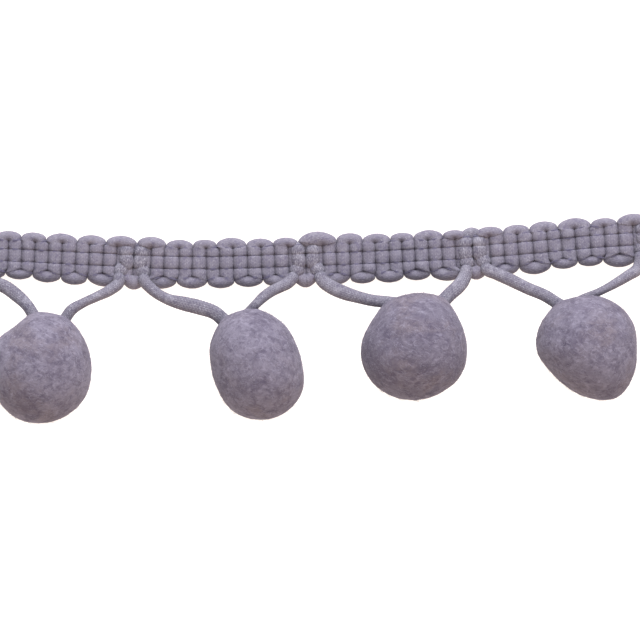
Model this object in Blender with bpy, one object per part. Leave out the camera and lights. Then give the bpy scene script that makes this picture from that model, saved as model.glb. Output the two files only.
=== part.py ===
"""Pompom fringe trim, a cut length lying face up on a flat surface.

A thick soft yarn runs from edge to edge and back to make the heading, and four lines of chain stitch bind it.
A knitted drop cord is caught on the heading's face at each node and swags to a felted pompom on either side.

Metres, +Z up. X runs along the heading, Y goes from the pompoms up to the heading, and the origin is on the
surface, under the middle of the whole trim. The sizes and tables below are in millimetres, and a place along
and up is counted from the datum, an empty that carries every piece.
"""

from collections import namedtuple
from math import atan2, cos, hypot, pi, radians, sin

import bmesh
import bpy
import numpy as np

MM = 0.001

# Where the datum, just under the middle node, lies from the middle of the whole trim
DATUM = (-0.246, 0.523)

# How the heading lies: its centre line's distance up at places along it
LIE_ALONG = (-68.0, -51.0, -36.0, -21.0, 0.0, 19.0, 34.0, 49.0, 68.0)
LIE_UP = (10.2, 10.05, 9.35, 8.7, 9.2, 10.0, 10.95, 12.3, 13.3)

# Heading: one pick is one crossing of the weft yarn, and a node is where the drop cord is caught
NODES = (-57.3, -28.8, 0.0, 27.9, 57.6)
PICKS_A_REPEAT = 12
NODE_PICK = 2.9
END_PICK = 2.31
END_PICKS = 3
STEPS_A_PICK = 3
PILLOW_POWER = 0.5

# Across the heading, from its centre line: the four lines of chain stitch, and the reach of the yarn's turns
WALES = (-2.37, -1.03, 1.03, 2.5)
LOWER_TURN = 4.3
LOWER_NOTCH = 3.2
UPPER_TURN = 3.8
UPPER_NOTCH = 3.3

# Heights of the heading's face over the surface, where the yarn swells and where stitches or turns draw it in
ROW_CREST = 2.6
ROW_VALLEY = 1.7
WALE_CREST = 1.75
WALE_VALLEY = 1.4
EDGE_CREST = 2.25
EDGE_NOTCH = 1.5
EDGE_MIDDLE = 1.1
EDGE_ROUNDING = 0.15
EDGE_UNDER = 0.15
NODE_FACE = 1.2
NODE_WALE = 1.1
NODE_EDGE = 0.8

# Where those heights are reached, as shares of the way from one stitch line, or an edge, to the next
ROW_SHOULDERS = (0.3, 0.7)
EDGE_SHOULDER = 0.25
EDGE_SWELL = 0.65
EDGE_LIFT = 0.5

# Drop cord: at a node it runs up one column, round a loop and down the other
CORD_THICK = 2.0
CORD_STEP = 1.0
COLUMN = 1.35
LOOP_MIDDLE = 1.5
LOOP_TURNS = (135, 90, 45)
COLUMN_FOOT = -2.0
CORD_OVER_HEADING = 2.56
CUT_END = -5.0
GAP = 0.32

# Pompoms: reach holds the distance from the middle to the outline at 12, 1, 2 and so on to 11 o'clock. The cord
# enters and leaves at the two hours, a little under the middle, and draws the felt out there
Pompom = namedtuple("Pompom", "along up high enters leaves reach")
POMPOMS = (
    Pompom(-44.3, -9.2, 16.0, 12.0, 0.9, (9.1, 9.3, 8.8, 8.5, 8.7, 8.7, 8.8, 8.8, 8.4, 8.6, 8.6, 8.2)),
    Pompom(-8.1, -8.5, 15.0, 10.8, 11.8, (9.0, 8.3, 7.4, 7.5, 8.5, 9.0, 8.9, 8.5, 7.7, 7.7, 8.7, 8.8)),
    Pompom(18.1, -5.5, 16.2, 11.0, 1.2, (9.1, 9.2, 8.7, 8.7, 8.9, 8.6, 8.6, 8.8, 9.0, 8.9, 8.3, 8.5)),
    Pompom(46.7, -5.5, 15.4, 10.9, 0.4, (8.5, 8.9, 8.9, 8.4, 9.1, 9.7, 8.2, 7.2, 7.2, 8.3, 8.7, 8.6)),
)
HOURS = 12
ENTRY_HEIGHT = -0.12
ENTRY_DRAWN = 0.6
ENTRY_SPREAD_HOURS = 0.38
ENTRY_SPREAD_HEIGHT = 0.3
REST_HEIGHT = 0.92
ROUND_STEPS = 30
HIGH_STEPS = 16

# Where each leg of the drop cord swags between a pompom and the heading: (along, up, over the surface)
LEGS_IN = (
    ((-46.9, 2.4, 6.3), (-49.0, 4.0, 5.2), (-51.0, 5.0, 4.3), (-53.5, 5.6, 3.5), (-55.8, 6.4, 2.8)),
    (
        (-14.9, 0.3, 6.6),
        (-17.6, 1.3, 6.2),
        (-20.3, 2.0, 5.5),
        (-23.0, 2.7, 4.6),
        (-25.9, 4.5, 3.3),
        (-27.2, 5.9, 2.7),
    ),
    ((10.9, 2.5, 6.3), (9.0, 3.0, 5.8), (6.4, 3.7, 5.0), (3.9, 4.3, 3.9), (2.4, 5.2, 3.2), (1.6, 6.5, 2.7)),
    ((39.7, 3.3, 6.4), (37.0, 4.4, 5.5), (34.4, 5.6, 4.4), (31.7, 6.8, 3.4), (29.9, 7.6, 2.8)),
)
LEGS_OUT = (
    ((-39.0, 0.9, 6.7), (-37.0, 2.1, 6.0), (-34.9, 3.1, 5.0), (-32.4, 4.3, 3.7), (-30.7, 5.6, 2.9)),
    ((-8.4, 2.2, 6.6), (-7.0, 3.3, 5.7), (-5.2, 4.2, 4.7), (-3.1, 5.0, 3.4), (-1.7, 6.3, 2.7)),
    ((24.0, 3.9, 6.5), (25.2, 4.7, 5.3), (26.2, 5.9, 3.9), (26.7, 7.1, 2.9)),
    ((49.9, 4.7, 6.5), (51.6, 5.6, 5.5), (53.4, 6.6, 4.4), (55.2, 7.8, 3.2)),
)

# Colours, linear
YARN = (0.205, 0.170, 0.235)
CORD = (0.235, 0.200, 0.275)
FELT = (0.240, 0.200, 0.260)
MATT = 0.9


def smooth_through(stations, values, wanted):
    """Values at the wanted places, on a smooth curve through the values at the stations."""
    stations = np.asarray(stations, float)
    values = np.asarray(values, float)
    slopes = np.gradient(values, stations, axis=0)
    before = np.clip(np.searchsorted(stations, wanted, side="right") - 1, 0, len(stations) - 2)
    step = stations[before + 1] - stations[before]
    t = (np.asarray(wanted, float) - stations[before]) / step
    if values.ndim > 1:
        step = step[:, None]
        t = t[:, None]
    start = (1 + 2 * t) * (1 - t) ** 2 * values[before]
    end = t * t * (3 - 2 * t) * values[before + 1]
    leaving = t * (1 - t) ** 2 * step * slopes[before]
    arriving = t * t * (t - 1) * step * slopes[before + 1]
    return start + end + leaving + arriving


def on_heading(along, across):
    """(along, up) of a point at a distance across the heading, square to its centre line."""
    step = 0.1
    up, further_up = smooth_through(LIE_ALONG, LIE_UP, np.array([along, along + step]))
    slope = (further_up - up) / step
    length = hypot(1, slope)
    return along - across * slope / length, up + across / length


def metres(along, up, high):
    return (along * MM, up * MM, high * MM)


def pick_edges():
    """(along, pick number) of each boundary between picks, counted from the first node."""
    edges = []
    first = NODES[0] - NODE_PICK
    for pick in range(-1 - END_PICKS, -1):
        edges.append((first + (pick + 1) * END_PICK, pick))
    for node, (this, following) in enumerate(zip(NODES, NODES[1:])):
        edges.append((this - NODE_PICK, node * PICKS_A_REPEAT - 1))
        edges.append((this, node * PICKS_A_REPEAT))
        start = this + NODE_PICK
        plain = (following - NODE_PICK - start) / (PICKS_A_REPEAT - 2)
        for pick in range(PICKS_A_REPEAT - 2):
            edges.append((start + pick * plain, node * PICKS_A_REPEAT + 1 + pick))
    last = (len(NODES) - 1) * PICKS_A_REPEAT
    edges.append((NODES[-1] - NODE_PICK, last - 1))
    edges.append((NODES[-1], last))
    for pick in range(END_PICKS + 1):
        edges.append((NODES[-1] + NODE_PICK + pick * END_PICK, last + 1 + pick))
    return edges


def turn_profile(edge, stitch_line, crest, middle):
    """(across, high) over a turn of the yarn, from the heading's edge in towards its stitch line."""
    inward = stitch_line - edge
    return [
        (edge, middle),
        (edge + EDGE_SHOULDER * inward, crest - EDGE_ROUNDING),
        (edge + EDGE_SWELL * inward, crest),
    ]


def heading_section(pick):
    """(across, high) round the heading at a count of picks that is whole at a boundary between two picks."""
    swell = abs(sin(pi * pick)) ** PILLOW_POWER
    lower = abs(cos(pi * pick / 2)) ** PILLOW_POWER
    upper = abs(sin(pi * pick / 2)) ** PILLOW_POWER
    half = PICKS_A_REPEAT / 2
    under_cord = abs((pick + half) % PICKS_A_REPEAT - half) < 1
    if under_cord:
        row, wale, lower_crest, upper_crest, middle = NODE_FACE, NODE_WALE, NODE_FACE, NODE_FACE, NODE_EDGE
    else:
        row = ROW_VALLEY + (ROW_CREST - ROW_VALLEY) * swell
        wale = WALE_VALLEY + (WALE_CREST - WALE_VALLEY) * swell
        lower_crest = EDGE_NOTCH + (EDGE_CREST - EDGE_NOTCH) * lower
        upper_crest = EDGE_NOTCH + (EDGE_CREST - EDGE_NOTCH) * upper
        middle = EDGE_MIDDLE
    lower_edge = -LOWER_NOTCH - (LOWER_TURN - LOWER_NOTCH) * lower
    upper_edge = UPPER_NOTCH + (UPPER_TURN - UPPER_NOTCH) * upper
    section = turn_profile(lower_edge, WALES[0], lower_crest, middle)
    for left, right in zip(WALES, WALES[1:]):
        section.append((left, wale))
        section += [(left + share * (right - left), row) for share in ROW_SHOULDERS]
    section.append((WALES[-1], wale))
    section += turn_profile(upper_edge, WALES[-1], upper_crest, middle)[::-1]
    section.append((WALES[-1] + EDGE_LIFT * (upper_edge - WALES[-1]), EDGE_UNDER))
    section += [(WALES[-1], 0), (WALES[0], 0)]
    section.append((WALES[0] + EDGE_LIFT * (lower_edge - WALES[0]), EDGE_UNDER))
    return section


def loft(sections):
    """A closed mesh through rings of as many points each, with its ends filled."""
    mesh = bmesh.new()
    rings = [[mesh.verts.new(point) for point in section] for section in sections]
    for this, following in zip(rings, rings[1:]):
        for i in range(len(this)):
            j = (i + 1) % len(this)
            mesh.faces.new((this[i], this[j], following[j], following[i]))
    mesh.faces.new(rings[0][::-1])
    mesh.faces.new(rings[-1])
    bmesh.ops.recalc_face_normals(mesh, faces=mesh.faces)
    return mesh


def add_piece(name, data, material, place=(0, 0)):
    """A piece carried by the datum, its own origin at a place (along, up) on the surface."""
    piece = bpy.data.objects.new(name, data)
    piece.parent = DATUM_EMPTY
    piece.location = metres(*place, 0)
    data.materials.append(material)
    TRIM.objects.link(piece)


def add_heading(material):
    edges = pick_edges()
    sections = []
    for (along, pick), (following, _) in zip(edges, [*edges[1:], edges[-1]]):
        steps = STEPS_A_PICK if following > along else 1
        for step in range(steps):
            share = step / STEPS_A_PICK
            here = along + (following - along) * share
            ring = [(*on_heading(here, across), high) for across, high in heading_section(pick + share)]
            sections.append([metres(*point) for point in ring])
    solid = loft(sections)
    data = bpy.data.meshes.new("heading")
    solid.to_mesh(data)
    solid.free()
    add_piece("heading", data, material)


def pompom_point(pompom, hour, height):
    """A point of a pompom's surface, from under its middle: height goes from -1 at its foot to 1 at its top."""
    stations = range(-2, HOURS + 3)
    reach = [pompom.reach[station % HOURS] for station in stations]
    out = smooth_through(stations, reach, np.array([hour % HOURS]))[0] * (1 - height**2) ** 0.5
    for entry in (pompom.enters, pompom.leaves):
        hours_off = ((hour - entry + HOURS / 2) % HOURS - HOURS / 2) / ENTRY_SPREAD_HOURS
        height_off = (height - ENTRY_HEIGHT) / ENTRY_SPREAD_HEIGHT
        out += ENTRY_DRAWN * np.exp(-(hours_off**2) - height_off**2)
    turn = pi / 2 - 2 * pi * hour / HOURS
    half = pompom.high / (1 + REST_HEIGHT)
    return (out * cos(turn), out * sin(turn), half * (REST_HEIGHT + max(height, -REST_HEIGHT)))


def add_pompom(name, pompom, material):
    solid = bmesh.new()
    bmesh.ops.create_uvsphere(solid, u_segments=ROUND_STEPS, v_segments=HIGH_STEPS, radius=1)
    for vert in solid.verts:
        hour = (pi / 2 - atan2(vert.co.y, vert.co.x)) * HOURS / (2 * pi)
        height = max(-1, min(1, vert.co.z))
        vert.co = metres(*pompom_point(pompom, hour, height))
    data = bpy.data.meshes.new(name)
    solid.to_mesh(data)
    solid.free()
    data.shade_smooth()
    add_piece(name, data, material, (pompom.along, pompom.up))


def entry_point(pompom, hour, leg_point):
    """Where a leg that comes from leg_point ends, its rim just clear of the pompom."""
    from_middle = np.array(pompom_point(pompom, hour, ENTRY_HEIGHT))
    touch = from_middle + (pompom.along, pompom.up, 0)
    outward = from_middle * (1, 1, 0) / hypot(from_middle[0], from_middle[1])
    coming = (np.array(leg_point) - touch) / np.linalg.norm(np.array(leg_point) - touch)
    rim = CORD_THICK / 2 * np.linalg.norm(np.cross(coming, outward))
    return tuple(touch + coming * (GAP + rim) / np.dot(coming, outward))


def over_heading(along, across):
    return (*on_heading(along, across), CORD_OVER_HEADING)


def column_points(along):
    """Points up one column of a node, from low on the heading to the loop."""
    halfway = (COLUMN_FOOT + LOOP_MIDDLE) / 2
    return [over_heading(along, across) for across in (COLUMN_FOOT, halfway, LOOP_MIDDLE)]


def cord_route(node):
    """The drop cord's route over one node, from the pompom before it to the pompom after it."""
    middle = NODES[node]
    rising = column_points(middle - COLUMN)
    loop = [
        over_heading(middle + COLUMN * cos(radians(turn)), LOOP_MIDDLE + COLUMN * sin(radians(turn)))
        for turn in LOOP_TURNS
    ]
    falling = column_points(middle + COLUMN)[::-1]
    if node > 0:
        pompom = POMPOMS[node - 1]
        leg = LEGS_OUT[node - 1]
        rising = [entry_point(pompom, pompom.leaves, leg[0]), *leg, *rising]
    else:
        rising = [over_heading(middle - COLUMN, CUT_END), *rising]
    if node < len(POMPOMS):
        pompom = POMPOMS[node]
        leg = LEGS_IN[node]
        falling = [*falling, *leg[::-1], entry_point(pompom, pompom.enters, leg[0])]
    else:
        falling = [*falling, over_heading(middle + COLUMN, CUT_END)]
    return np.array([*rising, *loop, *falling])


def add_cord(name, node, material):
    route = cord_route(node)
    walked = np.concatenate([[0], np.cumsum(np.linalg.norm(np.diff(route, axis=0), axis=1))])
    count = round(walked[-1] / CORD_STEP) + 1
    points = smooth_through(walked, route, np.linspace(0, walked[-1], count))
    place = on_heading(NODES[node], 0)
    data = bpy.data.curves.new(name, "CURVE")
    data.dimensions = "3D"
    data.bevel_depth = CORD_THICK / 2 * MM
    data.bevel_resolution = 2
    data.use_fill_caps = True
    spline = data.splines.new("POLY")
    spline.points.add(count - 1)
    for target, point in zip(spline.points, points - (*place, 0)):
        target.co = (*metres(*point), 1)
    spline.use_smooth = True
    add_piece(name, data, material, place)


def yarn_material(name, colour):
    material = bpy.data.materials.new(name)
    material.use_nodes = True
    shader = material.node_tree.nodes["Principled BSDF"]
    shader.inputs["Base Color"].default_value = (*colour, 1)
    shader.inputs["Roughness"].default_value = MATT
    shader.inputs["Metallic"].default_value = 0
    return material


for leftover in list(bpy.data.objects):
    bpy.data.objects.remove(leftover)
TRIM = bpy.data.collections.new("pompom fringe trim")
bpy.context.scene.collection.children.link(TRIM)
DATUM_EMPTY = bpy.data.objects.new("datum", None)
DATUM_EMPTY.location = metres(*DATUM, 0)
TRIM.objects.link(DATUM_EMPTY)

add_heading(yarn_material("heading yarn", YARN))
for number, shape in enumerate(POMPOMS, 1):
    add_pompom(f"pompom_{number}", shape, yarn_material(f"felt {number}", FELT))
for number in range(len(NODES)):
    add_cord(f"drop_cord_{number + 1}", number, yarn_material(f"knitted cord {number + 1}", CORD))
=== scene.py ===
from collections import namedtuple
from math import cos, pi, radians, sin

import bmesh
import bpy
import numpy as np
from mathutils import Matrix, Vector, noise
from mathutils.bvhtree import BVHTree


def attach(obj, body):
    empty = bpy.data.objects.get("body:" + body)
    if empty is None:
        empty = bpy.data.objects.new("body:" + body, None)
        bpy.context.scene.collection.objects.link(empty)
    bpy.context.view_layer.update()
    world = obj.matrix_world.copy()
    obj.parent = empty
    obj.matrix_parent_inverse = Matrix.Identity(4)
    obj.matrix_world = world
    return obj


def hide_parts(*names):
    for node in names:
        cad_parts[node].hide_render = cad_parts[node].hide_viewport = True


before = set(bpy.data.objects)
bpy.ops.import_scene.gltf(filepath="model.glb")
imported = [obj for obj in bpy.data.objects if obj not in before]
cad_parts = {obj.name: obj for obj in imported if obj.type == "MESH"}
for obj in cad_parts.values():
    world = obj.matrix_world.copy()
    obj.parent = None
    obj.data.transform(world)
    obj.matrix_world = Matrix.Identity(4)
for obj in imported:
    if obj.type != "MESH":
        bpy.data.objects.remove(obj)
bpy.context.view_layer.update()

# Sizes and places are in millimetres, counted along the heading, up from the pompoms to it, and over the
# surface, from the datum under the middle node. The datum lies here from the middle of the whole trim
MM = 0.001
DATUM = (-0.246, 0.523)

# How the heading lies: its centre line's distance up at places along it
LIE_ALONG = (-68.0, -51.0, -36.0, -21.0, 0.0, 19.0, 34.0, 49.0, 68.0)
LIE_UP = (10.2, 10.05, 9.35, 8.7, 9.2, 10.0, 10.95, 12.3, 13.3)

# Heading: one pick is one crossing of the weft yarn, and a node is where the drop cord is caught
NODES = (-57.3, -28.8, 0.0, 27.9, 57.6)
PICKS_A_REPEAT = 12
NODE_PICK = 2.9
END_PICK = 2.31
END_PICKS = 3

# Across the heading: the two inner lines of stitches. Then, at its lower and its upper edge: the points
# that the yarn turns about, how far its turns and the notches between them reach beyond those, and the
# slant of the stitches that bind them. Then how uneven it all is, and how sharp the notches' corners are
INNER_WALE = 1.03
LOWER, UPPER = 0, 1
AWAY = (-1, 1)
TURNS_ABOUT = (-2.2, 2.25)
TURNS_REACH = (1.95, 1.78)
NOTCHES_REACH = (1.25, 1.1)
PINCH_SLANT = (radians(19), radians(11))
REACH_UNEVEN = 0.12
NOTCH_UNEVEN = 0.3
PICK_UNEVEN = 0.07
CORNER_SHARPNESS = 9

# At each node, where the upper turns to its west and to its east end, along from its middle. A wider turn
# reaches further. The lower turns on either side run on a little under the drop cord, and the node's own
# lower turn shows between the cord's legs as a rounder bump
TURNS_END = ((0.0, 0.0), (0.3, 0.3), (-1.35, -1.35), (-0.6, 1.2), (0.0, 0.0))
WIDE_TURN_POWER = 0.7
UNDER_CORD = 0.9
NODE_LOWER_REACH = 2.35
NODE_LOWER_DROP = 2.6

# Heights over the surface: crests of the yarn between stitches, and how low and how high stitches pinch
# it. How tight the four pinches of a pick are, from its start to its end, if it rises and if it falls
ROW_CREST = 2.6
TURN_CREST = 2.45
NODE_ROW_CREST = 2.3
NODE_LOWER_CREST = 2.6
NODE_UPPER_CREST = 2.95
CREST_UNEVEN = 0.09
PINCH_HIGH = 2.42
PINCH_LOW = 0.35
BACK_LOW = 0.03
PINCHES_RISING = (0.6, 1.0, 1.0, 0.2)
PINCHES_FALLING = (0.55, 1.0, 1.0, 0.6)

# The weft yarn's own form. Its section is a rounded square, less square in a turn by this much. It is a
# little wider than its pick, so that it presses on its neighbours, and swells fast between two pinches. A
# pinch nips its upper part, from the first height on and fully from the second, in half heights from its
# middle. Where it turns, it leaves a small hole
YARN_ROUND_STEPS = 44
YARN_WALES = 11
YARN_COURSE = 0.56
YARN_SQUARENESS = 2.4
TURN_ROUNDER = 0.5
YARN_FILL = 1.07
SWELL_POWER = 0.45
YARN_NIP = 0.34
NIP_STARTS = -0.2
NIP_FULL = 0.7
PIVOT_HOLE = 0.1
TURN_STEPS = 8
OUTER_ROW_STEPS = 12
MIDDLE_ROW_STEPS = 14

# Both yarns are knitted tubes, and their stitches stand this high. In counts of wales and courses, a
# stitch's two legs start this far off its middle, lean outwards, and are this wide on either side of
# their crests. Each leg rises from its ends, where it has this share of its height, to its middle
STITCH_RELIEF = 0.035
LEG_STARTS = 0.09
LEG_LEANS = 0.3
LEG_WIDE = 0.22
LEG_END = 0.55
LEG_RISE = 0.9

# Chain stitches that bind the weft: two legs to a stitch on the face, one thread behind. Each leg arches
# out of the dip between two picks, and stands proud of the pinched yarn by a share of its own thickness
THREAD = 0.18
THREAD_SPREAD = 0.1
THREAD_DIP = 1.15
THREAD_BACK = 0.28
THREAD_ARCH_POWER = 0.7
THREAD_PROUD = 0.3
THREAD_STEPS = 8
THREAD_ROUND_STEPS = 5

# Drop cord: at a node it runs up one column, round a loop and down the other. Both columns spread at
# their feet, and the loop is tucked more or less far under the turns of the weft
COLUMN = 1.2
FEET = ((-1.6, 1.6), (-2.2, 1.7), (-1.7, 2.05), (-1.1, 1.8), (-1.6, 1.6))
FOOT_ACROSS = -2.0
COLUMN_ACROSS = -0.6
LOOP_ACROSS = 1.7
LOOPS_HIGH = (0.6, 0.6, 0.6, 1.4, 0.6)
LOOP_TURNS = (radians(135), radians(90), radians(45))
CORD_OVER_HEADING = 2.56
CUT_END = -5.0
CORD_INTO_POMPOM = 3.2
CORD_BENDS_AFTER = 0.3
CORD_STEP = 0.09
CORD_ROUND_STEPS = 60
CORD_WALES = 10
CORD_COURSE = 0.54

# The cord's half width and half height where it hangs free and even, and how much of what it is wider it
# is less high. How both change and how far it sinks where it lies on the heading, again where stitches
# nip it there, and in its loop, which the yarn's turns half cover. It begins to lie on the heading at the
# first place across it, and is nipped at the next four and no more beyond the last
CORD_FREE = (1.03, 0.93)
CORD_FLATTENED = 0.35
CORD_LAID = (0.2, -0.13, 0.55)
CORD_NIPPED = (-0.34, -0.2, 0.2)
CORD_LOOPED = (-0.15, -0.1, 0.9)
CORD_LAID_FROM = -3.2
CORD_NIPS = (-2.3, -1.03, 1.03, 2.3)
CORD_NIPPED_TO = 2.6

# Pompoms: reach holds the distance from the middle to the outline at 12, 1, 2 and so on to 11 o'clock.
# The cord enters and leaves at the two hours, a little under the middle, and draws the felt out there
Pompom = namedtuple("Pompom", "along up high enters leaves reach")
POMPOMS = (
    Pompom(-44.3, -9.2, 16.0, 11.8, 0.9, (9.6, 9.7, 9.1, 8.75, 8.85, 8.85, 8.8, 8.6, 8.3, 8.6, 8.6, 8.3)),
    Pompom(-8.1, -8.5, 15.0, 10.8, 11.8, (9.35, 8.4, 7.5, 7.6, 8.6, 9.0, 8.9, 8.4, 7.6, 7.65, 8.75, 9.6)),
    Pompom(18.1, -5.5, 16.2, 11.0, 1.05, (9.1, 9.4, 8.7, 8.65, 8.85, 8.6, 8.65, 8.85, 9.05, 8.9, 8.5, 8.8)),
    Pompom(46.7, -5.5, 15.4, 10.9, 0.1, (8.7, 8.8, 8.7, 8.25, 8.9, 9.5, 8.1, 7.2, 7.3, 8.45, 8.7, 8.8)),
)
HOURS = 12
ENTRY_HEIGHT = -0.12
ENTRY_DRAWN = 0.08
ENTRY_SPREAD_HOURS = 0.38
ENTRY_SPREAD_HEIGHT = 0.3
COLLAR = 0.25
COLLAR_WIDE = 1.3
COLLAR_DEEP = 4.0
REST_HEIGHT = 0.92
FELT_SUBDIVISIONS = 6

# Lumps in the felt, how long and how deep. Its ground colour on each pompom. How far apart, in metres,
# the pompoms take their mottling from one pattern. How its tufts, its pits' painted shade and its wisps
# lean off the heading
LUMPS = ((4.5, 0.1), (1.2, 0.035))
POMPOM_COLOURS = ("#7d7781", "#7c7680", "#716b75", "#77717b")
MOTTLING_APART = 0.0173
TUFTS_LEAN = radians(-35)
SHADED_PITS_LEAN = TUFTS_LEAN + 1.3
WISPS_LEAN = TUFTS_LEAN + 0.3

# Where each leg of the drop cord swags from a pompom to the heading, and how wide it is there
Swag = namedtuple("Swag", "along up over wide")
LEGS_IN = (
    (
        Swag(-46.1, 1.4, 6.5, 2.0),
        Swag(-48.1, 3.3, 5.4, 2.25),
        Swag(-50.4, 4.85, 4.4, 2.25),
        Swag(-53.2, 5.6, 3.5, 2.2),
        Swag(-55.4, 6.4, 2.9, 2.1),
    ),
    (
        Swag(-14.9, 0.25, 6.6, 2.35),
        Swag(-17.6, 1.25, 6.2, 2.5),
        Swag(-20.3, 1.9, 5.5, 2.4),
        Swag(-23.0, 2.65, 4.6, 1.9),
        Swag(-25.9, 4.5, 3.3, 1.9),
        Swag(-27.0, 5.8, 2.8, 2.0),
    ),
    (
        Swag(10.9, 2.45, 6.3, 2.0),
        Swag(9.0, 2.9, 5.8, 2.05),
        Swag(6.4, 3.7, 5.0, 2.35),
        Swag(4.2, 4.7, 3.9, 2.35),
        Swag(2.75, 5.8, 3.0, 2.2),
    ),
    (
        Swag(39.7, 3.25, 6.4, 2.05),
        Swag(37.0, 4.4, 5.5, 2.05),
        Swag(34.4, 5.7, 4.4, 2.15),
        Swag(31.8, 6.9, 3.3, 2.1),
        Swag(30.3, 7.6, 2.9, 2.1),
    ),
)
LEGS_OUT = (
    (
        Swag(-38.95, 0.75, 6.7, 1.9),
        Swag(-37.0, 2.0, 6.0, 1.6),
        Swag(-34.9, 3.0, 5.0, 1.65),
        Swag(-32.5, 4.25, 3.7, 1.9),
        Swag(-31.3, 5.3, 3.0, 2.0),
    ),
    (
        Swag(-8.3, 1.75, 6.6, 1.6),
        Swag(-6.9, 3.1, 5.7, 1.8),
        Swag(-5.6, 4.0, 4.9, 1.85),
        Swag(-4.2, 4.7, 4.1, 1.9),
        Swag(-2.9, 5.4, 3.3, 2.0),
    ),
    (
        Swag(24.1, 3.6, 6.4, 2.35),
        Swag(25.2, 4.55, 5.3, 2.4),
        Swag(26.05, 5.5, 4.1, 2.35),
        Swag(26.6, 6.6, 3.2, 2.2),
    ),
    (
        Swag(48.4, 3.7, 6.9, 1.35),
        Swag(49.9, 4.4, 6.4, 1.4),
        Swag(52.0, 5.55, 5.3, 1.65),
        Swag(53.85, 6.65, 4.2, 1.85),
        Swag(55.3, 7.6, 3.3, 2.0),
    ),
)

# Loose fibres: how many, how long, how far they stand off the surface at their tips, half their
# thickness, and how much they wander. They lift off slowly at first and get finer towards their tips.
# Their three sides are laid out from a way that hardly any of them runs along
Fibres = namedtuple("Fibres", "count long stands half_thick wander")
FELT_MATTED = Fibres(600, 1.4, 0.02, 0.012, 0.8)
FELT_STRAY = Fibres(1500, 0.9, 0.3, 0.012, 0.5)
YARN_STRAY = Fibres(1300, 0.7, 0.24, 0.012, 0.6)
CORD_STRAY = Fibres(260, 0.6, 0.2, 0.014, 0.6)
FIBRE_POINTS = 5
FIBRE_SIDES = 3
FIBRE_LIFT_POWER = 1.5
FIBRE_TIP = 0.45
FIBRE_ASIDE = (0.31, 0.47, 0.83)

# The picture: its middle, from the datum, and its width at the height where that is measured. The camera
# sees so many metres far
VIEW_MIDDLE = (2.383, -0.833)
VIEW_WIDE = 106.667
VIEW_HEIGHT = 4.0
LENS = 250.0
SENSOR = 36.0
CAMERA_SEES = 20

# The studio, in metres and watts: two lights, and colour and strength of the sky and of the floor's glow
Light = namedtuple("Light", "place wide energy colour")
KEY_LIGHT = Light((0.08, 0.6, 0.54), 0.8, 14.8, "#eff1ff")
FILL_LIGHT = Light((0.15, -0.7, 0.5), 0.6, 3.1, "#ffdcc4")
SKY = ("#eceaf2", 0.45)
FLOOR_GLOW = ("#fff6ef", 1.08)
FLOOR_HALF = 1.5
FLOOR_UNDER = 0.00005

# Where a tube is laid out flat for baking, the margin beside a row and the radius of a cut end, in rows
MAP_MARGIN = 0.02
MAP_END = 0.4

SEED = 11


def smooth_through(stations, values, wanted):
    """Values at the wanted places, on a smooth curve through the values at the stations."""
    stations = np.asarray(stations, float)
    values = np.asarray(values, float)
    slopes = np.gradient(values, stations, axis=0)
    before = np.clip(np.searchsorted(stations, wanted, side="right") - 1, 0, len(stations) - 2)
    step = stations[before + 1] - stations[before]
    t = (np.asarray(wanted, float) - stations[before]) / step
    if values.ndim > 1:
        step = step[:, None]
        t = t[:, None]
    start = (1 + 2 * t) * (1 - t) ** 2 * values[before]
    end = t * t * (3 - 2 * t) * values[before + 1]
    leaving = t * (1 - t) ** 2 * step * slopes[before]
    arriving = t * t * (t - 1) * step * slopes[before + 1]
    return start + end + leaving + arriving


def eased(value):
    """0 below 0, 1 above 1, and a smooth rise between."""
    value = np.clip(value, 0, 1)
    return value * value * (3 - 2 * value)


def on_heading(along, across):
    """(along, up) of points at distances across the heading, square to its centre line."""
    step = 0.1
    up = smooth_through(LIE_ALONG, LIE_UP, along)
    slope = (smooth_through(LIE_ALONG, LIE_UP, along + step) - up) / step
    length = np.hypot(1, slope)
    return along - across * slope / length, up + across / length


def in_frame(points):
    """Points in millimetres from the datum, as metres in the shared frame."""
    return (np.asarray(points, float) + (*DATUM, 0)) * MM


def walked(points):
    """The distance walked along a line of points, at each of them."""
    return np.concatenate([[0], np.cumsum(np.linalg.norm(np.diff(points, axis=0), axis=1))])


def unit(vectors):
    return vectors / np.linalg.norm(vectors, axis=-1, keepdims=True)


def pick_edges(rng):
    """(along, pick number) of each boundary between picks, a little uneven. The first node has pick 0."""
    edges = []
    first = NODES[0] - NODE_PICK
    for pick in range(-1 - END_PICKS, -1):
        edges.append((first + (pick + 1) * END_PICK, pick))
    for number, (this, following) in enumerate(zip(NODES, NODES[1:])):
        edges.append((this - NODE_PICK, number * PICKS_A_REPEAT - 1))
        edges.append((this, number * PICKS_A_REPEAT))
        start = this + NODE_PICK
        plain = (following - NODE_PICK - start) / (PICKS_A_REPEAT - 2)
        for pick in range(PICKS_A_REPEAT - 2):
            uneven = rng.normal(0, PICK_UNEVEN) if pick > 0 else 0
            edges.append((start + pick * plain + uneven, number * PICKS_A_REPEAT + 1 + pick))
    last = (len(NODES) - 1) * PICKS_A_REPEAT
    edges.append((NODES[-1] - NODE_PICK, last - 1))
    edges.append((NODES[-1], last))
    for pick in range(END_PICKS + 1):
        edges.append((NODES[-1] + NODE_PICK + pick * END_PICK, last + 1 + pick))
    return edges


def at_node(pick):
    """Whether a pick lies under the drop cord."""
    return pick % PICKS_A_REPEAT in (0, PICKS_A_REPEAT - 1)


def stitch_relief(wale, course):
    """How high the two legs of each knitted stitch stand, 0 to 1, at counts of wales and courses."""
    up_stitch = course % 1
    off_leg = abs(abs(wale % 1 - 0.5) - LEG_STARTS - LEG_LEANS * up_stitch)
    return eased(1 - off_leg / LEG_WIDE) * (LEG_END + LEG_RISE * np.minimum(up_stitch, 1 - up_stitch))


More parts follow.
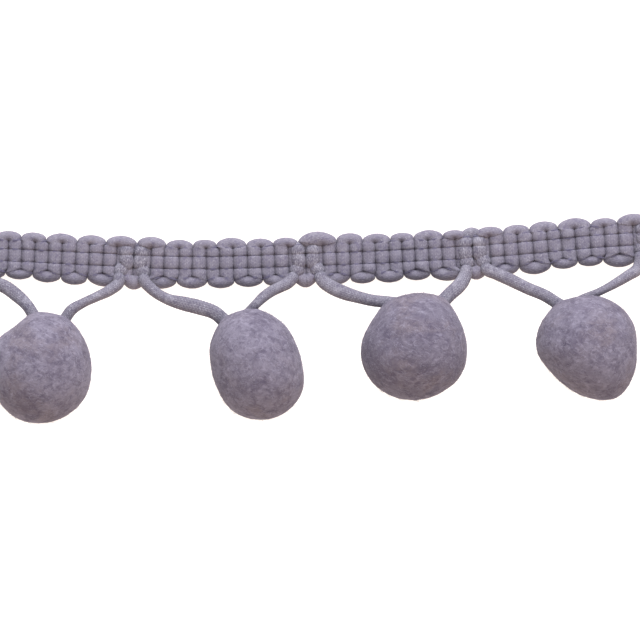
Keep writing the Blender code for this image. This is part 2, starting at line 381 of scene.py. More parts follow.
def tube_mesh(name, rings, wales, courses):
    """A closed tube through rings of points in millimetres from the datum. Its stitch map counts wales
    round the tube and courses along it, and its bake map lays the tube out flat in rows."""
    count, steps = rings.shape[:2]
    ring = np.repeat(np.arange(count - 1), steps)
    here = np.tile(np.arange(steps), count - 1)
    corner_ring = np.stack([ring, ring, ring + 1, ring + 1], axis=1)
    corner_step = np.stack([here, here + 1, here + 1, here], axis=1)
    quads = corner_ring * steps + corner_step % steps
    first_cap = list(range(steps))[::-1]
    last_cap = [(count - 1) * steps + i for i in range(steps)]
    mesh = bpy.data.meshes.new(name)
    mesh.from_pydata(in_frame(rings.reshape(-1, 3)).tolist(), [], [*quads.tolist(), first_cap, last_cap])
    mesh.shade_smooth()
    for cap in (-2, -1):
        mesh.polygons[cap].use_smooth = False

    turn = 2 * pi * np.arange(steps) / steps
    disc = np.stack([np.cos(turn), np.sin(turn)], axis=1)
    caps = np.concatenate([disc[::-1], disc])
    stitches = np.stack([corner_step * wales / steps, courses[corner_ring]], axis=2).reshape(-1, 2)
    stitch_map = mesh.uv_layers.new(name="stitches")
    stitch_map.uv.foreach_set("vector", np.concatenate([stitches, caps]).ravel())

    around = np.linalg.norm(np.diff(rings, axis=1), axis=2).sum(axis=1).mean()
    rows = max(1, round((walked(rings.mean(axis=1))[-1] / around) ** 0.5))
    rings_a_row = -(-(count - 1) // rows)
    row = (ring // rings_a_row)[:, None]
    row_high = 1 / (rows + 1)
    up_row = MAP_MARGIN + (1 - 2 * MAP_MARGIN) * corner_step / steps
    flat = np.stack([corner_ring / rings_a_row - row, (row + up_row) * row_high], axis=2).reshape(-1, 2)
    last_row = 1 - row_high / 2
    cap_middles = np.repeat([[1 / 4, last_row], [3 / 4, last_row]], steps, axis=0)
    flat_caps = cap_middles + caps * MAP_END * row_high
    bake_map = mesh.uv_layers.new(name="OFBake")
    bake_map.uv.foreach_set("vector", np.concatenate([flat, flat_caps]).ravel())
    return mesh


def tube_rings(points, half_wide, half_high, steps):
    """Rings round a line of points that runs nowhere upright, and the way out at each of their points."""
    along = unit(np.gradient(points, axis=0))
    side = unit(np.cross(along, (0, 0, 1)))[:, None]
    top = np.cross(side[:, 0], along)[:, None]
    turn = (2 * pi * np.arange(steps) / steps)[None, :, None]
    wide = np.broadcast_to(half_wide, len(points))[:, None, None]
    high = np.broadcast_to(half_high, len(points))[:, None, None]
    reach = side * np.cos(turn) * wide + top * np.sin(turn) * high
    return points[:, None] + reach, side * np.cos(turn) + top * np.sin(turn)


def add_piece(name, mesh, material, nodes=()):
    """Puts a mesh in the scene, riding on the trim's one body and standing for the nodes it replaces."""
    mesh.materials.append(material)
    piece = bpy.data.objects.new(name, mesh)
    bpy.context.scene.collection.objects.link(piece)
    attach(piece, "root")
    if nodes:
        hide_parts(*nodes)


# The weft yarn. A rung runs across it in plan, (along, across), from its left side to its right. In a
# turn the rungs fan round the point that the yarn turns about, and at a pinch a stitch draws them in

Rung = namedtuple("Rung", "left right share part")
Turn = namedtuple("Turn", "west east reach drop crest")
START_TURN, START_ROW, MIDDLE_ROW, END_ROW, END_TURN = range(5)


def turn_rung(about, edge, wide, turn, angle, side):
    """The inner and outer end of a rung in a turn: at angle 0 in its middle, and at 90 degrees where it
    ends and is as wide as its pick. The turn's outline is a parabola, cut off where the next one begins."""
    half = (turn.west + turn.east) / 2
    middle = (turn.east - turn.west) / 2 / half
    out = side * sin(angle) / half
    steep = cos(angle) - 2 * turn.drop * out * middle
    short = turn.reach - turn.drop * middle**2
    to_arc = 2 * short / (steep + (steep**2 + 4 * turn.drop * out**2 * short) ** 0.5)
    turn_wide = turn.east if side > 0 else turn.west
    spread = (sin(angle) / turn_wide) ** CORNER_SHARPNESS + to_arc**-CORNER_SHARPNESS
    reach = spread ** (-1 / CORNER_SHARPNESS)
    straightened = eased(1 - (pi / 2 - angle) / PINCH_SLANT[edge])
    reach += (wide - reach) * straightened
    way = np.array((side * sin(angle), AWAY[edge] * cos(angle)))
    return about + way * PIVOT_HOLE * cos(angle), about + way * reach


def row_place(walk, wide, edge, way):
    """The angle of a rung that straightens out of a turn, or its place across once it runs straight."""
    slanting = PINCH_SLANT[edge] * wide / 2
    if walk < slanting:
        return pi / 2 - PINCH_SLANT[edge] * (1 - walk / slanting), None
    return None, TURNS_ABOUT[edge] + way * (walk - slanting)


def pick_rungs(west, east, rising, turns):
    """Rungs along one pick, from the middle of one turn to the middle of the next."""
    wide = east - west
    first, last = (LOWER, UPPER) if rising else (UPPER, LOWER)
    way = 1 if rising else -1
    lobe = (1 - np.cos(pi * np.arange(2 * TURN_STEPS + 1) / (2 * TURN_STEPS))) / 2
    row = (1 - np.cos(pi * np.arange(OUTER_ROW_STEPS) / OUTER_ROW_STEPS)) / 2
    middle_row = (1 - np.cos(pi * np.arange(MIDDLE_ROW_STEPS) / MIDDLE_ROW_STEPS)) / 2
    rungs = []

    def turned(angle, at_start, share, part):
        edge = first if at_start else last
        about = np.array((west if at_start else east, TURNS_ABOUT[edge]))
        turn, side = (turns[0], 1) if at_start else (turns[1], -1)
        inner, outer = turn_rung(about, edge, wide, turn, angle, side)
        inner_is_left = at_start == rising
        rungs.append(Rung(*((inner, outer) if inner_is_left else (outer, inner)), share, part))

    def straight(across, share, part):
        ends = np.array((west, across)), np.array((east, across))
        rungs.append(Rung(*(ends if rising else ends[::-1]), share, part))

    def outer_row(walk, at_start, share, part):
        edge = first if at_start else last
        angle, across = row_place(walk, wide, edge, way if at_start else -way)
        if across is None:
            turned(angle, at_start, share, part)
        else:
            straight(across, share, part)

    def row_length(edge):
        return PINCH_SLANT[edge] * wide / 2 + abs(TURNS_ABOUT[edge]) - INNER_WALE

    for share in lobe[TURN_STEPS:-1]:
        turned((pi / 2 - PINCH_SLANT[first]) * (2 * share - 1), True, share, START_TURN)
    for share in row:
        outer_row(share * row_length(first), True, share, START_ROW)
    for share in middle_row:
        straight(way * INNER_WALE * (2 * share - 1), share, MIDDLE_ROW)
    for share in row:
        outer_row((1 - share) * row_length(last), False, share, END_ROW)
    for share in lobe[:TURN_STEPS]:
        turned((pi / 2 - PINCH_SLANT[last]) * (1 - 2 * share), False, share, END_TURN)
    return rungs


def turn_at(edges, notches, number, rng):
    """The turn that the yarn makes over a boundary between two picks, from one notch to the next."""
    along, pick = edges[number]
    west = along - notches[number - 1] if number > 0 else END_PICK
    east = notches[number + 1] - along if number + 1 < len(edges) else END_PICK
    edge = LOWER if pick % 2 == 0 else UPPER
    crest = TURN_CREST
    node, from_node = divmod(pick + 1, PICKS_A_REPEAT)
    if from_node == 0:
        east += TURNS_END[node][0]
        crest = NODE_UPPER_CREST
    elif from_node == 2:
        west -= TURNS_END[node][1]
        crest = NODE_UPPER_CREST
    elif from_node == 3:
        west += UNDER_CORD
    elif from_node == PICKS_A_REPEAT - 1:
        east += UNDER_CORD
    reach = TURNS_REACH[edge] * ((west + east) / (2 * END_PICK)) ** WIDE_TURN_POWER
    drop = reach - NOTCHES_REACH[edge]
    if from_node == 1:
        reach, drop, crest = NODE_LOWER_REACH, NODE_LOWER_DROP, NODE_LOWER_CREST
    return Turn(west, east, reach + rng.normal(0, REACH_UNEVEN), drop, crest + rng.normal(0, CREST_UNEVEN))


def add_weft(edges, material, rng):
    """The weft yarn from edge to edge and back, in two lengths that meet at the middle node."""
    notches = [along + rng.normal(0, NOTCH_UNEVEN) for along, _ in edges]
    turns = [turn_at(edges, notches, number, rng) for number in range(len(edges))]
    rungs = []
    crests = []
    joints = []
    tights = []
    picks = []
    turnings = []
    for number, ((west, pick), (east, _)) in enumerate(zip(edges, edges[1:])):
        rising = pick % 2 == 0
        row_crests = (NODE_ROW_CREST if at_node(pick) else ROW_CREST) + rng.normal(0, CREST_UNEVEN, 3)
        pick_crests = [turns[number].crest, *row_crests, turns[number + 1].crest]
        for rung in pick_rungs(west, east, rising, turns[number : number + 2]):
            pinch = rung.part - 1 + (rung.share >= 0.5)
            rungs.append(rung)
            crests.append(pick_crests[rung.part])
            joints.append((pick_crests[pinch] + pick_crests[pinch + 1]) / 2)
            tights.append((PINCHES_RISING if rising else PINCHES_FALLING)[pinch])
            picks.append(pick)
            turnings.append(rung.part in (START_TURN, END_TURN))

    left = np.array([rung.left for rung in rungs])[:, None]
    right = np.array([rung.right for rung in rungs])[:, None]
    shares = [rung.share for rung in rungs]
    share, crest, joint, tight, turning = np.array([shares, crests, joints, tights, turnings])[:, :, None]
    swell = (4 * share * (1 - share)) ** SWELL_POWER
    high = swell * crest + (1 - swell) * (joint - tight * (joint - PINCH_HIGH))
    low = PINCH_LOW + (BACK_LOW - PINCH_LOW) * swell
    turn = 2 * pi * np.arange(YARN_ROUND_STEPS) / YARN_ROUND_STEPS
    squareness = YARN_SQUARENESS - TURN_ROUNDER * turning * swell
    side = np.sign(np.cos(turn)) * abs(np.cos(turn)) ** (2 / squareness)
    rise = np.sign(np.sin(turn)) * abs(np.sin(turn)) ** (2 / squareness)
    nipped = tight * (1 - swell) * eased((rise - NIP_STARTS) / (NIP_FULL - NIP_STARTS))
    fill = YARN_FILL - YARN_NIP * nipped
    plan = (left + right) / 2 + (left - right) / 2 * (side * fill)[..., None]
    height = (low + high) / 2 + (high - low) / 2 * rise
    middles = np.stack([*on_heading(*((left + right)[:, 0] / 2).T), high[:, 0]], axis=1)
    courses = walked(middles) / YARN_COURSE
    wales = turn * YARN_WALES / (2 * pi)
    relief = STITCH_RELIEF * (stitch_relief(wales[None, :], courses[:, None]) - 0.5)
    outward = unit((left - right)[:, 0])[:, None] * (relief * np.cos(turn))[..., None]
    along, up = on_heading(plan[..., 0] + outward[..., 0], plan[..., 1] + outward[..., 1])
    rings = np.stack([along, up, np.maximum(height + relief * np.sin(turn), 0)], axis=2)

    meshes = []
    middle_pick = PICKS_A_REPEAT * (len(NODES) // 2)
    parting = picks.index(middle_pick)
    for name, first, last in (("weft_left", 0, parting + 1), ("weft_right", parting, len(rings))):
        mesh = tube_mesh(name, rings[first:last], YARN_WALES, courses[first:last])
        add_piece(name, mesh, material, ["heading"])
        meshes.append(mesh)
    return meshes


def wale_across(line, pick):
    """How far across the heading a line of stitches crosses the boundary at the start of a pick."""
    even = pick % 2 == 0
    if line == "lower":
        return TURNS_ABOUT[LOWER] - (0 if even else END_PICK * sin(PINCH_SLANT[LOWER]))
    if line == "upper":
        return TURNS_ABOUT[UPPER] + (END_PICK * sin(PINCH_SLANT[UPPER]) if even else 0)
    return INNER_WALE if line == "inner_upper" else -INNER_WALE


def add_chain_stitches(edges, material):
    """Four lines of chain stitch. Each stitch lies over one pick as two legs, with one thread behind."""
    weft_high = PINCH_HIGH + THREAD * THREAD_PROUD
    cord_high = CORD_OVER_HEADING + CORD_FREE[1]
    cord_high += CORD_LAID[1] - CORD_LAID[2] + CORD_NIPPED[1] - CORD_NIPPED[2]
    share = np.arange(THREAD_STEPS) / THREAD_STEPS
    for line in ("lower", "inner_lower", "inner_upper", "upper"):
        along, across, arch, top = [], [], [], []
        for (west, pick), (east, following) in zip(edges, edges[1:]):
            start = wale_across(line, pick)
            along.append(west + share * (east - west))
            across.append(start + share * (wale_across(line, following) - start))
            arch.append(np.sin(pi * share))
            top.append(np.full(THREAD_STEPS, cord_high if at_node(pick) else weft_high))
        along, across, arch, top = map(np.concatenate, (along, across, arch, top))
        over = THREAD_DIP + (top - THREAD_DIP) * arch**THREAD_ARCH_POWER
        for leg, spread in (("a", 1), ("b", -1)):
            route = np.stack([*on_heading(along, across + spread * THREAD_SPREAD * arch), over], axis=1)
            add_thread(f"chain_stitch_{line}_{leg}", route, material)
        behind = THREAD_BACK + (THREAD_DIP / 2 - THREAD_BACK) * (1 - arch)
        route = np.stack([*on_heading(along, across), behind], axis=1)
        add_thread(f"chain_stitch_{line}_back", route, material)


def add_thread(name, route, material):
    rings, _ = tube_rings(route, THREAD / 2, THREAD / 2, THREAD_ROUND_STEPS)
    add_piece(name, tube_mesh(name, rings, 1, walked(route) / THREAD), material)


# The pompoms and the drop cord


def pompom_points(pompom, hours, heights):
    """Points of a pompom's surface, from under its middle. Height is -1 at its foot and 1 at its top."""
    stations = range(-2, HOURS + 3)
    reach = [pompom.reach[station % HOURS] for station in stations]
    out = smooth_through(stations, reach, hours % HOURS) * np.sqrt(1 - heights**2)
    for entry in (pompom.enters, pompom.leaves):
        hours_off = ((hours - entry + HOURS / 2) % HOURS - HOURS / 2) / ENTRY_SPREAD_HOURS
        height_off = (heights - ENTRY_HEIGHT) / ENTRY_SPREAD_HEIGHT
        out += ENTRY_DRAWN * np.exp(-(hours_off**2) - height_off**2)
    turn = pi / 2 - 2 * pi * hours / HOURS
    half = pompom.high / (1 + REST_HEIGHT)
    high = half * (REST_HEIGHT + np.maximum(heights, -REST_HEIGHT))
    return np.stack([out * np.cos(turn), out * np.sin(turn), high], axis=1)


def entry_point(pompom, hour):
    """Where the drop cord meets a pompom."""
    point = pompom_points(pompom, np.array([hour]), np.array([ENTRY_HEIGHT]))[0]
    return point + (pompom.along, pompom.up, 0)


def swag(pompom, hour, leg):
    """A leg's points, from the pompom that it hangs from."""
    return [Swag(*entry_point(pompom, hour), leg[0].wide), *leg]


def over_heading(along, across):
    return Swag(*on_heading(along, across), CORD_OVER_HEADING, 2 * CORD_FREE[0])


def column_points(number, side):
    """Points up one column of a node, from its foot to the loop. The west side is 0 and the east side 1."""
    middle = NODES[number]
    column = (-COLUMN, COLUMN)[side]
    return [
        over_heading(middle + FEET[number][side], FOOT_ACROSS),
        over_heading(middle + column, COLUMN_ACROSS),
        over_heading(middle + column, LOOP_ACROSS),
    ]


def cord_route(number):
    """The drop cord's points and widths over one node, from the pompom before it to the pompom after it."""
    middle = NODES[number]
    loop = [
        over_heading(middle + COLUMN * cos(turn), LOOP_ACROSS + LOOPS_HIGH[number] * sin(turn))
        for turn in LOOP_TURNS
    ]
    if number > 0:
        before = swag(POMPOMS[number - 1], POMPOMS[number - 1].leaves, LEGS_OUT[number - 1])
    else:
        before = [over_heading(middle - COLUMN, CUT_END)]
    if number < len(POMPOMS):
        after = swag(POMPOMS[number], POMPOMS[number].enters, LEGS_IN[number])[::-1]
    else:
        after = [over_heading(middle + COLUMN, CUT_END)]
    return np.array([*before, *column_points(number, 0), *loop, *column_points(number, 1)[::-1], *after])


def into_felt(points, pompom):
    """A cord's points and widths, the last at a pompom, carried on in a bend towards its middle."""
    *_, before, last = points
    straight = unit((last - before) * (1, 1, 1, 0))
    inward = unit((pompom.along, pompom.up, *last[2:]) - last)
    share = np.arange(1, round(CORD_INTO_POMPOM / CORD_STEP))[:, None] * CORD_STEP / CORD_INTO_POMPOM
    bend = eased((share - CORD_BENDS_AFTER) / (1 - CORD_BENDS_AFTER))
    steps = unit(straight + (inward - straight) * bend) * CORD_STEP
    return np.concatenate([points, last + np.cumsum(steps, axis=0)])


def add_drop_cord(number, material):
    route = cord_route(number)
    stations = walked(route[:, :3])
    points = smooth_through(stations, route, np.linspace(0, stations[-1], round(stations[-1] / CORD_STEP)))
    if number > 0:
        points = into_felt(points[::-1], POMPOMS[number - 1])[::-1]
    if number < len(POMPOMS):
        points = into_felt(points, POMPOMS[number])
    points, wides = points[:, :3], points[:, 3]
    across = points[:, 1] - smooth_through(LIE_ALONG, LIE_UP, points[:, 0])
    laid = eased(across - CORD_LAID_FROM) * (abs(points[:, 0] - NODES[number]) < NODE_PICK)
    nip = np.clip(np.searchsorted(CORD_NIPS, across), 1, len(CORD_NIPS) - 1)
    share = (across - np.take(CORD_NIPS, nip - 1)) / np.take(np.diff(CORD_NIPS), nip - 1)
    swell = np.clip(4 * share * (1 - share), 0, 1) ** SWELL_POWER
    nipped = laid * (1 - swell) * (across < CORD_NIPPED_TO)
    looped = laid * eased(across - LOOP_ACROSS)
    changes = np.stack([laid, nipped, looped], axis=1) @ np.array([CORD_LAID, CORD_NIPPED, CORD_LOOPED])
    points[:, 2] -= changes[:, 2]
    wider = wides / 2 - CORD_FREE[0]
    half_wide, half_high = (CORD_FREE + wider[:, None] * (1, -CORD_FLATTENED) + changes[:, :2]).T
    rings, outward = tube_rings(points, half_wide, half_high, CORD_ROUND_STEPS)
    courses = walked(points) / CORD_COURSE
    wales = np.arange(CORD_ROUND_STEPS) * CORD_WALES / CORD_ROUND_STEPS
    relief = STITCH_RELIEF * (stitch_relief(wales[None, :], courses[:, None]) - 0.5)
    name = f"knitted_cord_{number + 1}"
    mesh = tube_mesh(name, rings + outward * relief[..., None], CORD_WALES, courses)
    add_piece(name, mesh, material, [f"drop_cord_{number + 1}"])
    return mesh


def drawn_out(points, pompom, hour, leg_point):
    """Points of a pompom's surface, drawn out along the cord near where it meets the pompom at an hour."""
    touch = entry_point(pompom, hour)
    away = unit(np.array(leg_point) - touch)
    ahead = (points - touch) @ away
    aside = np.linalg.norm(points - touch - ahead[:, None] * away, axis=1)
    pull = COLLAR * np.exp(-((aside / COLLAR_WIDE) ** 2)) * eased(1 + ahead / COLLAR_DEEP)
    return points + away * pull[:, None]


def add_pompom(number, pompom, material):
    solid = bmesh.new()
    bmesh.ops.create_icosphere(solid, subdivisions=FELT_SUBDIVISIONS, radius=1)
    ball = np.array([vert.co for vert in solid.verts])
    hours = (pi / 2 - np.arctan2(ball[:, 1], ball[:, 0])) * HOURS / (2 * pi)
    points = pompom_points(pompom, hours, np.clip(ball[:, 2], -1, 1)) + (pompom.along, pompom.up, 0)
    points = drawn_out(points, pompom, pompom.enters, LEGS_IN[number - 1][0][:3])
    points = drawn_out(points, pompom, pompom.leaves, LEGS_OUT[number - 1][0][:3])
    for vert, point, way in zip(solid.verts, points, ball):
        lift = sum(deep * noise.noise(Vector(point) / long) for long, deep in LUMPS)
        lifted = point + way * lift * (way[2] > -REST_HEIGHT)
        vert.co = in_frame((*lifted[:2], max(lifted[2], 0)))
    name = f"felted_pompom_{number}"
    mesh = bpy.data.meshes.new(name)
    solid.to_mesh(mesh)
    solid.free()
    mesh.shade_smooth()
    add_piece(name, mesh, material, [f"pompom_{number}"])
    return mesh


# Loose fibres


def fibre_lines(mesh, fibres, rng):
    """Lines of points that wander over a mesh in random ways and lift off it towards their tips."""
    faces = [face.vertices for face in mesh.polygons]
    tree = BVHTree.FromPolygons([vert.co for vert in mesh.vertices], faces)
    step = fibres.long * MM / (FIBRE_POINTS - 1)
    lines = []
    for start in rng.integers(0, len(mesh.polygons), fibres.count):
        face = mesh.polygons[int(start)]
        place = face.center.copy()
        normal = face.normal.copy()
        way = normal.cross(Vector(rng.normal(size=3))).normalized()
        line = []
        for point in range(FIBRE_POINTS):
            stands = fibres.stands * MM * (point / (FIBRE_POINTS - 1)) ** FIBRE_LIFT_POWER
            line.append(place + normal * (stands + fibres.half_thick * MM / 2))
            sideways = normal.cross(way)
            way = (way + sideways * rng.normal(0, fibres.wander)).normalized()
            place, normal, _, _ = tree.find_nearest(place + way * step)
            way = (way - normal * way.dot(normal)).normalized()
        lines.append(line)
    return np.array(lines)


def add_fibres(name, lines, half_thick, material):
    """Thin three-sided fibres along lines of points, finer towards their tips."""
    count, points = lines.shape[:2]
    along = unit(np.gradient(lines, axis=1))
    side = unit(np.cross(along, FIBRE_ASIDE))
    top = np.cross(side, along)
    turn = 2 * pi * np.arange(FIBRE_SIDES) / FIBRE_SIDES
    thick = half_thick * MM * np.linspace(1, FIBRE_TIP, points)[None, :, None, None]
    reach = side[:, :, None] * np.cos(turn)[:, None] + top[:, :, None] * np.sin(turn)[:, None]
    verts = (lines[:, :, None] + reach * thick).reshape(-1, 3)
    verts[:, 2] = np.maximum(verts[:, 2], 0)
    base = np.arange(count)[:, None, None] * points * FIBRE_SIDES
    ring = base + np.arange(points - 1)[:, None] * FIBRE_SIDES
    here = np.arange(FIBRE_SIDES)
    following = (here + 1) % FIBRE_SIDES
    corners = (ring + here, ring + following, ring + FIBRE_SIDES + following, ring + FIBRE_SIDES + here)
    quads = np.stack(corners, axis=-1).reshape(-1, 4).tolist()
    roots = (base[:, 0] + here[::-1]).tolist()
    tips = (base[:, 0] + (points - 1) * FIBRE_SIDES + here).tolist()
    mesh = bpy.data.meshes.new(name)
    mesh.from_pydata(verts.tolist(), [], [*quads, *roots, *tips])
    mesh.shade_smooth()
    add_piece(name, mesh, material)


# Materials


def linear(hex_colour):
    """The linear colour of an sRGB hex value."""
    parts = [int(hex_colour[i : i + 2], 16) / 255 for i in (1, 3, 5)]
    return (*(part / 12.92 if part <= 0.04045 else ((part + 0.055) / 1.055) ** 2.4 for part in parts), 1)


def node(tree, kind, inputs=None, out=0, **settings):
    """Adds a node with its settings and returns one of its outputs. An input that is a socket is linked."""
    made = tree.nodes.new(kind)
    for name, value in settings.items():
        setattr(made, name, value)
    for name, value in (inputs or {}).items():
        if isinstance(value, bpy.types.NodeSocket):
            tree.links.new(value, made.inputs[name])
        else:
            made.inputs[name].default_value = value
    return made.outputs[out]


def new_material(name, inputs):
    """A material with one Principled shader, and that shader."""
    material = bpy.data.materials.new(name)
    material.use_nodes = True
    shader = material.node_tree.nodes["Principled BSDF"]
    for socket, value in inputs.items():
        shader.inputs[socket].default_value = value
    return material, shader


def patches(tree, size, low, high, shift=0.0, drawn=1.0, lean=0.0, **pattern):
    """Patches of a size in millimetres: 0 where the noise is under low, 1 where it is over high. They can
    be drawn out into streaks, so many times longer than wide, that lean off the heading's line."""
    place = node(tree, "ShaderNodeTexCoord", out="Object")
    laid = {"Vector": place, "Location": (shift,) * 3, "Rotation": (0, 0, lean), "Scale": (drawn, 1, 1)}
    moved = node(tree, "ShaderNodeMapping", laid, vector_type="TEXTURE")
    noises = {"Vector": moved, "Scale": 1 / (size * MM), "Detail": 3.0, **pattern}
    level = node(tree, "ShaderNodeTexNoise", noises, out="Fac")
    spread = {"Value": level, "From Min": low, "From Max": high}
    return node(tree, "ShaderNodeMapRange", spread, interpolation_type="SMOOTHSTEP")


def layered(tree, tone, layers):
    """A colour with others laid over it, given as (colour, strength, the pattern that shows where)."""
    for colour, strength, pattern in layers:
        share = node(tree, "ShaderNodeMath", {0: pattern, 1: strength}, operation="MULTIPLY")
        tone = node(tree, "ShaderNodeMix", {0: share, 6: tone, 7: linear(colour)}, 2, data_type="RGBA")
    return tone


def knitted(name, body, shade, light, hollow_shade):
    """Soft matt yarn knitted into a fine tube: two legs to each stitch, with painted shade between them and
    a painted highlight as pale flecks on their crests. A thin sheen stands for the bloom of loose fibres."""
    material, shader = new_material(
        name,
        {
            "Roughness": 0.95,
            "Specular IOR Level": 0.2,
            "Sheen Weight": 0.1,
            "Sheen Roughness": 0.6,
            "Sheen Tint": linear("#b4b0ba"),
        },
    )
    tree = material.node_tree
    stitches = node(tree, "ShaderNodeUVMap", uv_map="stitches")
    wale = node(tree, "ShaderNodeSeparateXYZ", {0: stitches}, "X")
    course = node(tree, "ShaderNodeSeparateXYZ", {0: stitches}, "Y")
    to_wale_edge = node(tree, "ShaderNodeMath", {0: wale, 1: 0.5}, operation="PINGPONG")
    to_course_edge = node(tree, "ShaderNodeMath", {0: course, 1: 0.5}, operation="PINGPONG")
    up_stitch = node(tree, "ShaderNodeMath", {0: course}, operation="FRACT")
    leaning = {0: up_stitch, 1: -LEG_LEANS, 2: 0.5 - LEG_STARTS}
    leg = node(tree, "ShaderNodeMath", leaning, operation="MULTIPLY_ADD")
    beside = node(tree, "ShaderNodeMath", {0: leg, 1: to_wale_edge}, operation="SUBTRACT")
    off_leg = node(tree, "ShaderNodeMath", {0: beside}, operation="ABSOLUTE")
    falling = {"Value": off_leg, "From Max": LEG_WIDE, "To Min": 1.0, "To Max": 0.0}
    crest = node(tree, "ShaderNodeMapRange", falling, interpolation_type="SMOOTHSTEP")
    rising = {0: to_course_edge, 1: LEG_RISE, 2: LEG_END}
    arch = node(tree, "ShaderNodeMath", rising, operation="MULTIPLY_ADD")
    height = node(tree, "ShaderNodeMath", {0: crest, 1: arch}, operation="MULTIPLY")
    hollow = node(tree, "ShaderNodeMath", {0: 1.0, 1: height}, operation="SUBTRACT")
    pale = patches(tree, 0.4, 0.5, 0.7)
    crest_highlight = node(tree, "ShaderNodeMath", {0: pale, 1: height}, operation="MULTIPLY")
    tone = layered(
        tree,
        linear(body),
        (
            # painted shade: the shade colour laid in the hollows between the stitches' legs
            (shade, hollow_shade, hollow),
            (shade, 0.6, patches(tree, 0.6, 0.5, 0.68, 0.4, Distortion=0.3)),
            # painted highlight: pale flecks on the stitches' crests, where they catch the light
            (light, 0.7, crest_highlight),
            (light, 0.2, patches(tree, 1.6, 0.48, 0.7, 0.9, Distortion=0.5)),
        ),
    )
    tree.links.new(tone, shader.inputs["Base Color"])
    fluff = patches(tree, 0.16, 0.2, 0.8)
    rough = node(tree, "ShaderNodeMath", {0: fluff, 1: 0.4, 2: height}, operation="MULTIPLY_ADD")
    bump = node(tree, "ShaderNodeBump", {"Height": rough, "Distance": 0.05 * MM, "Strength": 0.6})
    tree.links.new(bump, shader.inputs["Normal"])
    return material


def felt(name, body, shift):
    """Wool felted by hand into a ball: matt and softly mottled in tufts that lean one way, with small dark
    specks across them that are painted shade of pits in the felt, pale wisps more nearly along them, and a
    warmer cast where brown fibres are mixed in. A sheen stands for the bloom of loose fibres."""
    material, shader = new_material(
        name,
        {
            "Roughness": 1.0,
            "Specular IOR Level": 0.15,
            "Sheen Weight": 0.22,
            "Sheen Roughness": 0.5,
            "Sheen Tint": linear("#b6b2bc"),
        },
    )
    tree = material.node_tree
    ragged = {"Distortion": 0.6, "Detail": 6.0, "Roughness": 0.65}
    tufts = patches(tree, 1.5, 0.44, 0.7, shift, 1.5, TUFTS_LEAN, **ragged)
    shaded_pits = patches(tree, 0.6, 0.46, 0.74, shift + 0.5, 1.8, SHADED_PITS_LEAN, Distortion=1.0)
    wisps = patches(tree, 0.45, 0.5, 0.72, shift + 0.9, 2.6, WISPS_LEAN, Distortion=1.0)
    tone = layered(
        tree,
        linear(body),
        (
            ("#74696b", 0.6, patches(tree, 7.0, 0.45, 0.65, shift + 0.2, Distortion=0.6)),
            ("#5a5360", 0.55, patches(tree, 4.0, 0.46, 0.66, shift + 0.3, Distortion=0.8)),
            ("#4c4552", 0.6, tufts),
            ("#98929d", 0.3, patches(tree, 1.3, 0.52, 0.72, shift + 0.7, Distortion=0.8, Roughness=0.6)),
            # painted shade: small dark specks for the shade in the felt's pits
            ("#474050", 0.5, shaded_pits),
            ("#9a949f", 0.4, wisps),
        ),
    )
    tree.links.new(tone, shader.inputs["Base Color"])
    matting = patches(tree, 0.22, 0.2, 0.8, Distortion=1.5, Detail=5.0)
    height = node(tree, "ShaderNodeMath", {0: tufts, 1: -0.6, 2: matting}, operation="MULTIPLY_ADD")
    bump = node(tree, "ShaderNodeBump", {"Height": height, "Distance": 0.06 * MM, "Strength": 0.7})
    tree.links.new(bump, shader.inputs["Normal"])
    return material


def single_fibres(name, body, shade):
    """Single matt fibres, too fine to show a pattern: only their colour varies from place to place."""
    material, shader = new_material(name, {"Roughness": 0.95, "Specular IOR Level": 0.2})
    tree = material.node_tree
    tone = layered(tree, linear(body), ((shade, 1.0, patches(tree, 1.5, 0.35, 0.65)),))
    tree.links.new(tone, shader.inputs["Base Color"])
    return material


# The studio


def add_floor():
    """A plain white sweep that glows evenly, so that hardly a shadow shows on it."""
    mesh = bpy.data.meshes.new("floor")
    half = FLOOR_HALF
    corners = [(-half, -half, 0), (half, -half, 0), (half, half, 0), (-half, half, 0)]
    mesh.from_pydata(corners, [], [(0, 1, 2, 3)])
    colour, strength = FLOOR_GLOW
    paper = {"Roughness": 1.0, "Base Color": linear("#a0a0a0")}
    glow = {"Emission Color": linear(colour), "Emission Strength": strength}
    material, _ = new_material("white paper, matt", {**paper, **glow})
    mesh.materials.append(material)
    floor = bpy.data.objects.new("floor", mesh)
    floor.location.z = -FLOOR_UNDER
    bpy.context.scene.collection.objects.link(floor)


def add_light(name, light):
    """A soft square light, aimed at the trim."""
    data = bpy.data.lights.new(name, "AREA")
    data.size = light.wide
    data.energy = light.energy
    data.color = linear(light.colour)[:3]
    lamp = bpy.data.objects.new(name, data)
    lamp.location = light.place
    lamp.rotation_euler = (-Vector(light.place)).to_track_quat("-Z", "Y").to_euler()
    bpy.context.scene.collection.objects.link(lamp)


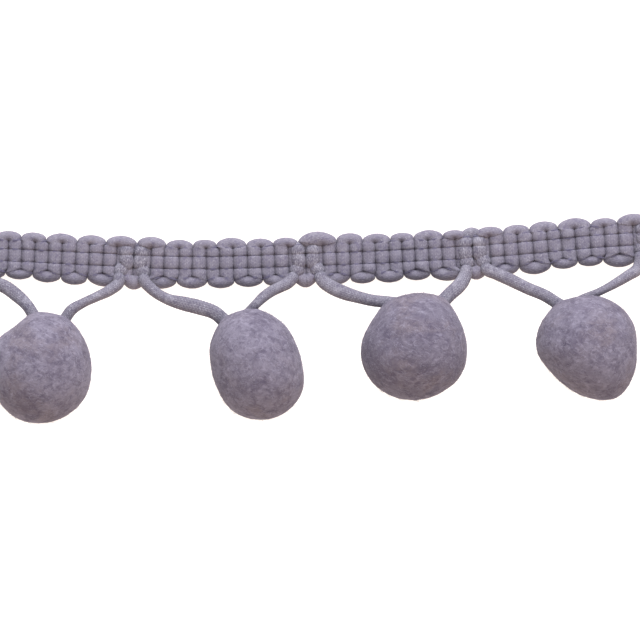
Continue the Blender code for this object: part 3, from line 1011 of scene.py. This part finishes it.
def add_studio():
    world = bpy.data.worlds.new("studio")
    bpy.context.scene.world = world
    world.use_nodes = True
    background = world.node_tree.nodes["Background"]
    colour, strength = SKY
    background.inputs["Color"].default_value = linear(colour)
    background.inputs["Strength"].default_value = strength
    add_light("key light, above the heading", KEY_LIGHT)
    add_light("fill light, below the pompoms", FILL_LIGHT)
    bpy.context.scene.view_settings.view_transform = "Standard"


def add_camera():
    data = bpy.data.cameras.new("camera")
    data.lens = LENS
    data.sensor_width = SENSOR
    data.clip_end = CAMERA_SEES
    camera = bpy.data.objects.new("camera", data)
    distance = VIEW_WIDE * LENS / SENSOR
    camera.location = in_frame((*VIEW_MIDDLE, VIEW_HEIGHT + distance))
    bpy.context.scene.collection.objects.link(camera)
    bpy.context.scene.camera = camera


add_camera()
rng = np.random.default_rng(SEED)

weft_yarn = knitted("soft acrylic yarn, knitted tube", "#807b81", "#615b6c", "#a09ca1", 0.44)
cord_yarn = knitted("cotton cord, fine knitted tube", "#858186", "#514c5b", "#b3b0b4", 0.6)
# The thread is darker and more violet than the yarn, matched to the grooves it lies in: partly its own
# colour, partly painted shade of those grooves
thread = single_fibres("polyester thread, spun", "#716c7d", "#615c6d")
loose_wool = single_fibres("wool fibre, loose", "#a29ca6", "#857f89")
loose_yarn = single_fibres("acrylic fibre, loose", "#a09ba3", "#858089")

edges = pick_edges(rng)
for mesh in add_weft(edges, weft_yarn, rng):
    lines = fibre_lines(mesh, YARN_STRAY, rng)
    add_fibres(f"{mesh.name}_fibres", lines, YARN_STRAY.half_thick, loose_yarn)
add_chain_stitches(edges, thread)
for number in range(len(NODES)):
    mesh = add_drop_cord(number, cord_yarn)
    lines = fibre_lines(mesh, CORD_STRAY, rng)
    add_fibres(f"{mesh.name}_fibres", lines, CORD_STRAY.half_thick, loose_yarn)
for number, (shape, body) in enumerate(zip(POMPOMS, POMPOM_COLOURS), 1):
    mesh = add_pompom(number, shape, felt(f"wool, felted ball {number}", body, number * MOTTLING_APART))
    for kind, fibres in (("matted", FELT_MATTED), ("stray", FELT_STRAY)):
        lines = fibre_lines(mesh, fibres, rng)
        add_fibres(f"{mesh.name}_{kind}", lines, fibres.half_thick, loose_wool)

add_floor()
add_studio()
